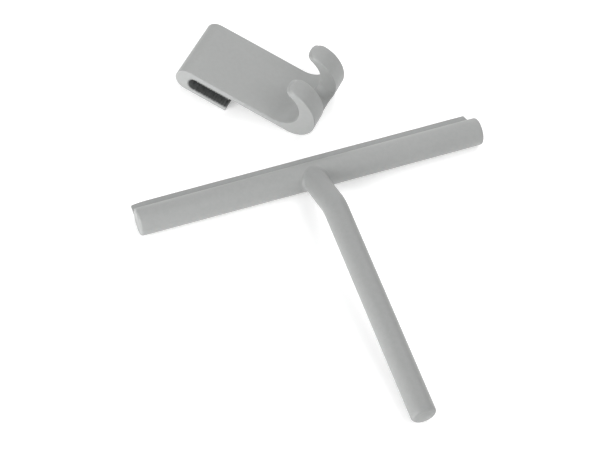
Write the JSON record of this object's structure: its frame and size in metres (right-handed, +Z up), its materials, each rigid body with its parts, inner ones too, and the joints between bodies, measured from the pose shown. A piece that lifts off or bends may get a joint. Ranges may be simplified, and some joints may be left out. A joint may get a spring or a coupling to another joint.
{
  "type": "window squeegee with holder hook",
  "caption": "T-shaped shower and window squeegee: silicone-covered round crossbar with slide-in blade, bent round handle, and a matching over-glass hook.",
  "frame": {"origin": "on the table, under the middle of the whole set's footprint", "axes": "+Z up; +X along the hook's long side, from its glass slot towards its prongs; +Y across the hook; the crossbar lies at 44 degrees from +X towards +Y and the handle runs from it at -46 degrees from +X"},
  "size_m": [0.2636, 0.2412, 0.0409],
  "materials": {
    "grey_silicone": "satin moulded silicone",
    "blade_silicone": "smooth soft silicone",
    "core_steel": "drawn tube",
    "spring_steel": "rolled strip",
    "plug_plastic": "moulded",
    "liner_rubber": "matte, ribbed"
  },
  "bodies": {
    "squeegee": {"crossbar_core": "core_steel", "core_end_plugs": "plug_plastic", "handle_core": "core_steel", "core_weld": "core_steel", "handle_end_plug": "plug_plastic", "crossbar_sleeve": "grey_silicone", "handle_sleeve": "grey_silicone"},
    "blade": {"wiper_blade": "blade_silicone"},
    "hook": {"hook_core": "spring_steel", "hook_shell": "grey_silicone", "grip_liner": "liner_rubber"}
  },
  "joints": [
    {"name": "blade_slide", "type": "slide", "parent": "squeegee", "child": "blade", "axis": [-0.7206, -0.6934, 0], "range_m": [0, 0.24]},
    {"name": "hook_lift", "type": "slide", "parent": "squeegee", "child": "hook", "axis": [0, 0, 1], "range_m": [0, 0.12]}
  ]
}
